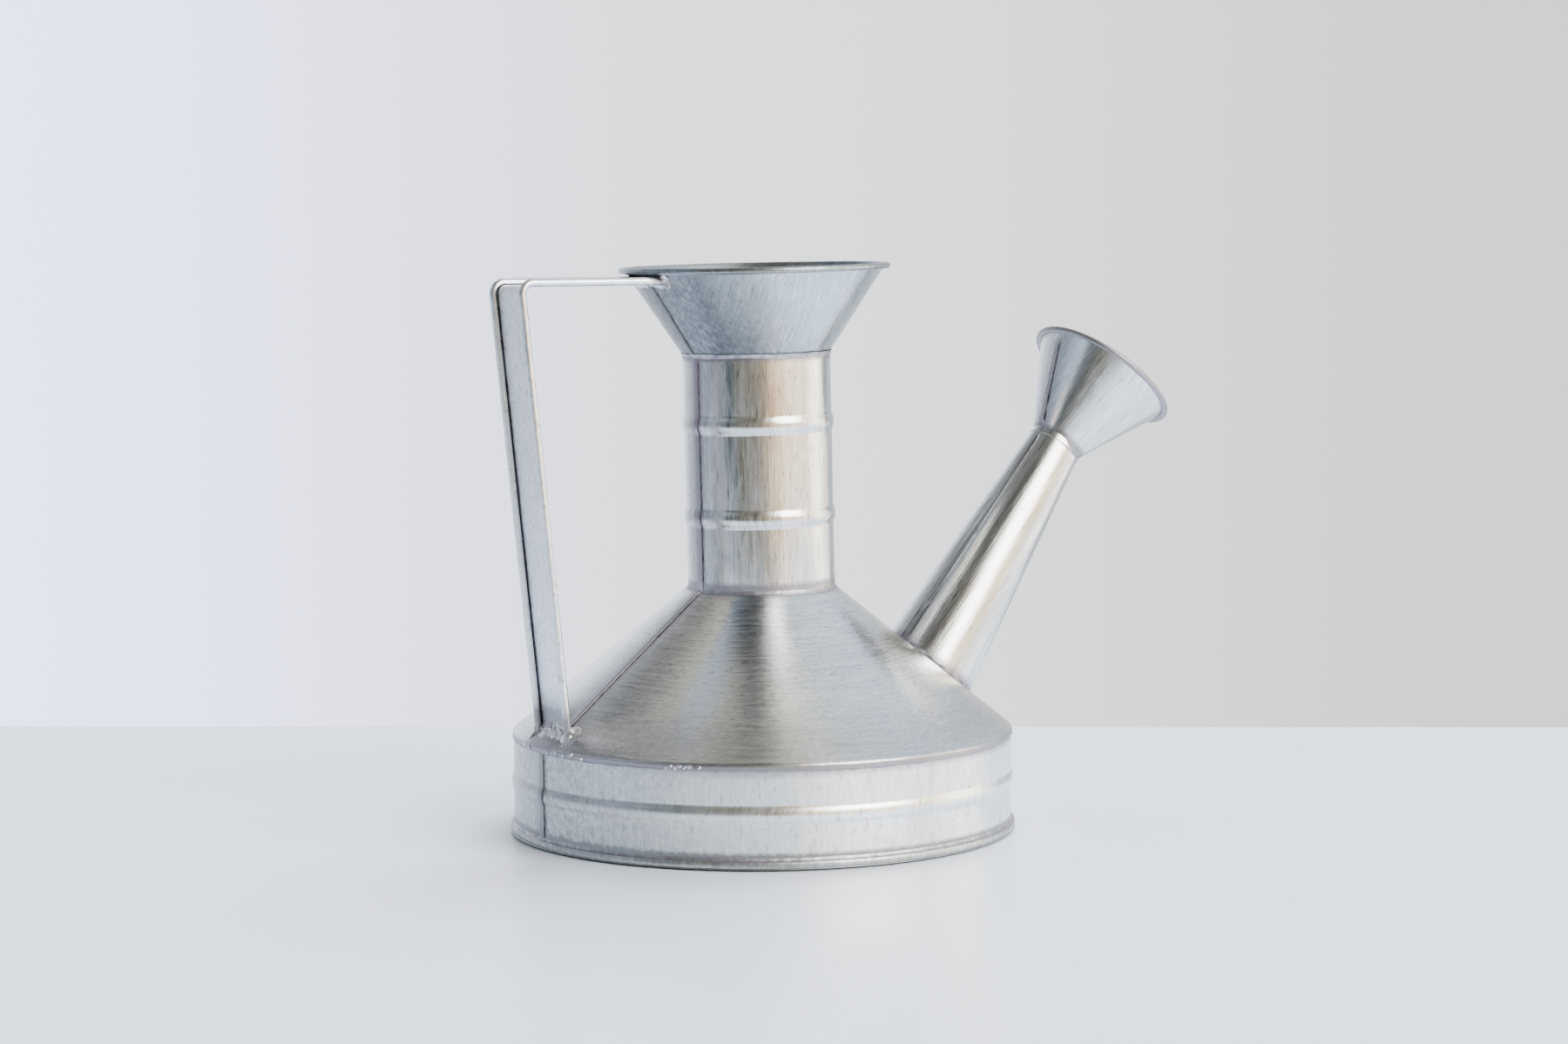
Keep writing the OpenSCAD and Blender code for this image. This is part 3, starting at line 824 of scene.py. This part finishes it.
def root_height(a):
    """How far down the spout its outer face meets the shoulder, in the direction a."""
    low, high = -165.0, -60.0
    for _ in range(40):
        mid = (low + high) / 2
        under = under_shoulder(AT_SPOUT @ spout_point(a, mid))
        low, high = (mid, high) if under else (low, mid)
    return low


def root_joint(f):
    a = 2 * math.pi * f
    z = root_height(a)
    p = AT_SPOUT @ spout_point(a, z)
    up = (AT_SPOUT @ spout_point(a, z + 1) - p).normalized()
    return p, up, along_face(shoulder_face(p), p - AT_SPOUT @ Vector((0, 0, z)))


def build_spout():
    low, high, sunk = -160.0, 1.5, 2.5

    def cut(column):
        """Shortens a column so that it ends just inside the shoulder."""
        a = math.atan2(column[0][0].y, column[0][0].x)
        bottom = root_height(a) - sunk
        share = (high - bottom) / (high - low)
        out = []
        for outer, inner, uv, mark in column:
            push = min((outer - spout_point(a, outer.z)).length, 1.0)
            ring = spout_point(a, high - (high - outer.z) * share) + swung((push, 0), a)
            mark = max(mark, fade(ring.z - bottom - sunk, 4.5))
            out.append((ring, ring - (outer - inner), (uv[0], ring.z), mark))
        return out

    path = [Vector((spout_radius(z), z)) for z in (low, high)]
    shell("spout_tube_tapered", path, AT_SPOUT, SPOUT_ZINC, SPOUT_SEAM, "spout_tube", 16,
          (30, 155), 0.16, StainsAndShade(seam=0.3), foot=cut)
    run_low, run_high = -126.0, -7.0
    run = [Vector((spout_radius(z), z)) for z in (run_low, run_high)]
    seam_solder("spout_seam_runs", run, AT_SPOUT, SPOUT_SEAM, "spout_side_solder", 17,
                (0, run_high - run_low))
    fillet("spout_root_run", root_joint, "spout_root_solder", 18, 2.8, 3.2, 180, SOLDER, 0.35)


def build_rose():
    sunk = 2.9
    path = [ROSE_FOOT - Vector((0, sunk)), ROSE_FOOT, ROSE_TOP]
    lap = (5.0, path_lengths(path)[-1] - 4.5)
    shell("rose_cone_flared", path, AT_ROSE, ROSE_ZINC, ROSE_SEAM, "rose_cone", 19, lap, 0.14,
          StainsAndShade(joints=((1.5, 3.0, 1),), seam=0.5))
    seam_solder("rose_seam_runs", path, AT_ROSE, ROSE_SEAM, "rose_side_solder", 20,
                (lap[0] + 1, lap[1] - 1))
    fillet("rose_foot_run", circle_joint(SPOUT_R + 0.45, -2.5, (0, -1), (1, 0)),
           "rose_foot_solder", 21, 2.6, 0.8, 160, EDGE_SOLDER, 0.2, AT_ROSE)
    build_face()


def build_face():
    """The rose's face: a shallow dome whose edge is rolled round the cone."""
    roll_r = ROLL_D / 2
    dome_a = math.degrees(math.asin(ROSE_MID.x / (FACE_DOME_R - roll_r)))
    dome_z = ROSE_MID.y - (FACE_DOME_R - roll_r) * math.cos(math.radians(dome_a))
    path = arc(ROSE_MID, roll_r, -150, 90 - dome_a, 18)
    path += arc((0, dome_z), FACE_DOME_R, 90 - dome_a, 90, 12)[1:]
    inner = moved(path, -SHEET_T)
    profile = path + [Vector((max(p.x, 0), p.y)) for p in inner[::-1]]
    points = [swung(p, 2 * math.pi * c / COLUMNS) for c in range(COLUMNS) for p in profile]
    uvs = [(p.x, p.y) for p in points]
    stains_and_shade = [0.75 if math.hypot(p.x, p.y) > ROSE_MID.x - 1 else 0.1 for p in points]
    face = make_object("rose_face_pierced", points, torus_faces(COLUMNS, len(profile)), AT_ROSE,
                       ROSE_ZINC, ["rose_face"], uvs, stains_and_shade)
    weld(face)
    pierce(face)
    weld(face)


def hole_pins(sides=20, depth=12):
    """A pin for each spray hole, in rings round the middle of the rose's face."""
    points, faces = [], []
    for ring in range(HOLE_RINGS + 1):
        count = max(6 * ring, 1)
        for i in range(count):
            middle = swung((ring * HOLE_STEP, ROSE_H), 2 * math.pi * i / count)
            faces += swept_faces(sides, 2, len(points))
            points += [middle + swung((HOLE_R, z), 2 * math.pi * k / sides)
                       for z in (0, depth) for k in range(sides)]
    return points, faces


def pierce(face):
    """Cuts the spray holes through the rose's face."""
    points, faces = hole_pins()
    mesh = bpy.data.meshes.new("spray_holes")
    mesh.from_pydata([tuple(AT_ROSE @ p * MM) for p in points], [], faces)
    cutter = bpy.data.objects.new("spray_holes", mesh)
    bpy.context.scene.collection.objects.link(cutter)
    cut = face.modifiers.new("holes", "BOOLEAN")
    cut.operation, cut.solver, cut.object = "DIFFERENCE", "EXACT", cutter
    bpy.context.view_layer.update()
    graph = bpy.context.evaluated_depsgraph_get()
    pierced = bpy.data.meshes.new_from_object(face.evaluated_get(graph))
    face.modifiers.clear()
    face.data = pierced
    bpy.data.objects.remove(cutter)


# ---------------------------------------------------------------- camera, stage and light

CAM_AZIMUTH, CAM_DISTANCE, CAM_HEIGHT = math.radians(-30), 1561.35, 275.81
VIEW = Vector((-math.sin(CAM_AZIMUTH), math.cos(CAM_AZIMUTH), 0))
SIDE = Vector((math.cos(CAM_AZIMUTH), math.sin(CAM_AZIMUTH), 0))


def build_camera():
    """The photograph's camera, which points a little down and is turned slightly."""
    yaw, pitch, roll = math.radians(0.386), math.radians(4.92), math.radians(-0.33)
    level = VIEW * math.cos(yaw) + SIDE * math.sin(yaw)
    side = SIDE * math.cos(yaw) - VIEW * math.sin(yaw)
    forward = level * math.cos(pitch) - UP * math.sin(pitch)
    up = UP * math.cos(pitch) + level * math.sin(pitch)
    right = side * math.cos(roll) + up * math.sin(roll)
    top = up * math.cos(roll) - side * math.sin(roll)
    data = bpy.data.cameras.new("camera")
    data.lens, data.sensor_width = 78, 36
    cam = bpy.data.objects.new("camera", data)
    bpy.context.scene.collection.objects.link(cam)
    place = Matrix((right, top, -forward)).transposed().to_4x4()
    place.translation = (UP * CAM_HEIGHT - VIEW * CAM_DISTANCE) * MM
    cam.matrix_world = place
    bpy.context.scene.camera = cam


def table_material():
    mat, n, shader = new_material("table")
    place = n.add("ShaderNodeTexCoord").outputs["Object"]
    cloud = n.add("ShaderNodeTexNoise", {"Vector": place, "Scale": 3.0, "Detail": 3.0})
    tint = n.fit(cloud.outputs["Fac"], *NOISE, 0.985, 1.0)
    n.feed(shader, "Base Color", n.mix(1.0, (0.79, 0.875, 1.0, 1), tint, "MULTIPLY"))
    shader.inputs["Roughness"].default_value = 0.30
    shader.inputs["Specular IOR Level"].default_value = 0.5
    return mat


def build_stage():
    """A pale table whose far edge is a little behind the can."""
    far, near, half, thick, turn = 313.0, 760.0, 1500.0, 30.0, math.radians(2.85)
    along = SIDE * math.cos(turn) - VIEW * math.sin(turn)
    depth = VIEW * math.cos(turn) + SIDE * math.sin(turn)
    top = [along * x + depth * y
           for x, y in ((-half, -near), (half, -near), (half, far), (-half, far))]
    corners = top + [c - UP * thick for c in top]
    sides = [(i, i + 4, (i + 1) % 4 + 4, (i + 1) % 4) for i in range(4)]
    mesh = bpy.data.meshes.new("table_top")
    mesh.from_pydata([tuple(c * MM) for c in corners], [], [(0, 1, 2, 3), (7, 6, 5, 4)] + sides)
    mesh.materials.append(table_material())
    obj = bpy.data.objects.new("table_top", mesh)
    bpy.context.scene.collection.objects.link(obj)


# The studio's walls: degrees to the right, as seen from the can by someone who faces the
# camera's side, and how bright they are. The wall behind the can is at 180.
AROUND = [(-180, (1.75, 1.78, 1.85)), (-166, (2.1, 2.25, 2.6)), (-130, (1.15, 1.26, 1.42)),
          (-100, (0.42, 0.49, 0.61)), (-72, (0.52, 0.61, 0.76)), (-54, (0.21, 0.27, 0.32)),
          (-38, (0.10, 0.12, 0.11)), (-20, (0.40, 0.37, 0.29)), (2, (0.36, 0.33, 0.25)),
          (14, (0.80, 0.60, 0.37)), (26, (2.1, 1.5, 0.85)), (50, (3.0, 2.3, 1.5)),
          (78, (3.2, 2.6, 1.85)), (104, (7.5, 6.6, 5.2)), (128, (1.2, 1.35, 1.45)),
          (150, (0.95, 1.08, 1.2)), (168, (1.28, 1.30, 1.33)), (180, (1.75, 1.80, 1.95))]
# What the camera itself sees of those walls: plain and pale, and bluer at the picture's left
BACKDROP = [(-180, (1.95, 1.97, 2.05)), (-166, (2.8, 3.15, 4.6)), (-140, (1.9, 2.0, 2.2)),
            (140, (1.6, 1.65, 1.75)), (168, (1.38, 1.38, 1.39)), (180, (1.95, 1.97, 2.05))]
# The ceiling's brightness from the left of the picture, at 0, to its right, at 1. This is the
# half beyond the can, which the shoulder reflects.
CEILING = [(0.0, (1.1, 1.25, 1.4)), (0.09, (0.8, 0.9, 1.0)), (0.17, (0.24, 0.27, 0.30)),
           (0.25, (0.24, 0.25, 0.27)), (0.33, (0.98, 0.93, 0.76)), (0.44, (0.92, 0.88, 0.72)),
           (0.468, (0.10, 0.145, 0.165)), (0.497, (0.10, 0.145, 0.165)),
           (0.525, (0.60, 0.53, 0.38)), (0.56, (3.0, 2.75, 2.1)), (0.59, (2.0, 2.0, 1.8)),
           (0.64, (1.3, 1.5, 1.65)), (0.74, (1.45, 1.70, 1.95)), (0.86, (1.35, 1.6, 1.85)),
           (1.0, (1.3, 1.5, 1.8))]
# The half of the ceiling on the camera's side, which the spout reflects
NEAR_CEILING = [(0.0, (1.1, 1.25, 1.4)), (0.11, (0.8, 0.9, 1.0)), (0.19, (0.46, 0.49, 0.50)),
                (0.30, (0.25, 0.262, 0.258)), (0.45, (0.125, 0.13, 0.125)),
                (0.53, (0.14, 0.14, 0.125)), (0.60, (0.9, 0.85, 0.7)), (0.68, (2.6, 2.55, 2.3)),
                (0.85, (2.4, 2.45, 2.4)), (1.0, (1.5, 1.7, 1.9))]


def colour_ramp(n, factor, stops):
    """A smooth ramp of colours; each stop is a place from 0 to 1 and a colour."""
    ramp = n.add("ShaderNodeValToRGB", {"Fac": factor})
    elements = ramp.color_ramp.elements
    ramp.color_ramp.interpolation = "EASE"
    elements.remove(elements[-1])
    for i, (at, colour) in enumerate(stops):
        stop = elements[0] if i == 0 else elements.new(at)
        stop.position, stop.color = at, (*colour, 1)
    return ramp.outputs["Color"]


def build_world():
    """A soft room with no walls: only a colour for each direction that light comes from."""
    world = bpy.data.worlds.new("studio")
    bpy.context.scene.world = world
    world.use_nodes = True
    world.node_tree.nodes.clear()
    n = Nodes(world.node_tree)
    way = n.add("ShaderNodeTexCoord").outputs["Generated"]
    side, front = [n.add("ShaderNodeVectorMath", {0: way, 1: tuple(axis)},
                         operation="DOT_PRODUCT").outputs["Value"] for axis in (SIDE, -VIEW)]
    share = n.fit(n.math("ARCTAN2", side, front), -math.pi, math.pi)
    walls, plain = [colour_ramp(n, share, [((degrees + 180) / 360, c) for degrees, c in stops])
                    for stops in (AROUND, BACKDROP)]
    across = n.fit(side, -1, 1)
    ceiling = n.mix(n.fit(front, -0.12, 0.15), colour_ramp(n, across, CEILING),
                    colour_ramp(n, across, NEAR_CEILING))
    height = n.add("ShaderNodeSeparateXYZ", {"Vector": way}).outputs["Z"]
    lit = n.mix(n.fit(height, 0.25, 0.7), walls, ceiling)
    seen = n.add("ShaderNodeLightPath").outputs["Is Camera Ray"]
    back = n.add("ShaderNodeBackground", {"Color": n.mix(seen, lit, plain), "Strength": 1.0})
    n.add("ShaderNodeOutputWorld", {"Surface": back.outputs[0]})


def soft_light(name, right, toward, height, size, power, colour, glossy=True):
    """A square area light that faces the can, placed relative to the camera's view."""
    data = bpy.data.lights.new(name, "AREA")
    data.shape, data.size = "SQUARE", size * MM
    data.energy, data.color = power, colour
    light = bpy.data.objects.new(name, data)
    bpy.context.scene.collection.objects.link(light)
    where, aim = (SIDE * right - VIEW * toward + UP * height) * MM, UP * 120 * MM
    light.location = where
    light.rotation_euler = (aim - where).to_track_quat("-Z", "Y").to_euler()
    light.visible_camera = False
    light.visible_glossy = glossy


def build_lights():
    build_world()
    soft_light("right_window", 1450, 1250, 1250, 1400, 68, (1.0, 0.985, 0.965))
    soft_light("back_panel", 500, -1200, 2100, 1500, 100, (0.82, 0.91, 1.0), glossy=False)


build_camera()
build_stage()
build_lights()
build_base()
build_drum()
build_shoulder()
build_neck()
build_funnel()
build_handle()
build_spout()
build_rose()

bpy.context.view_layer.update()
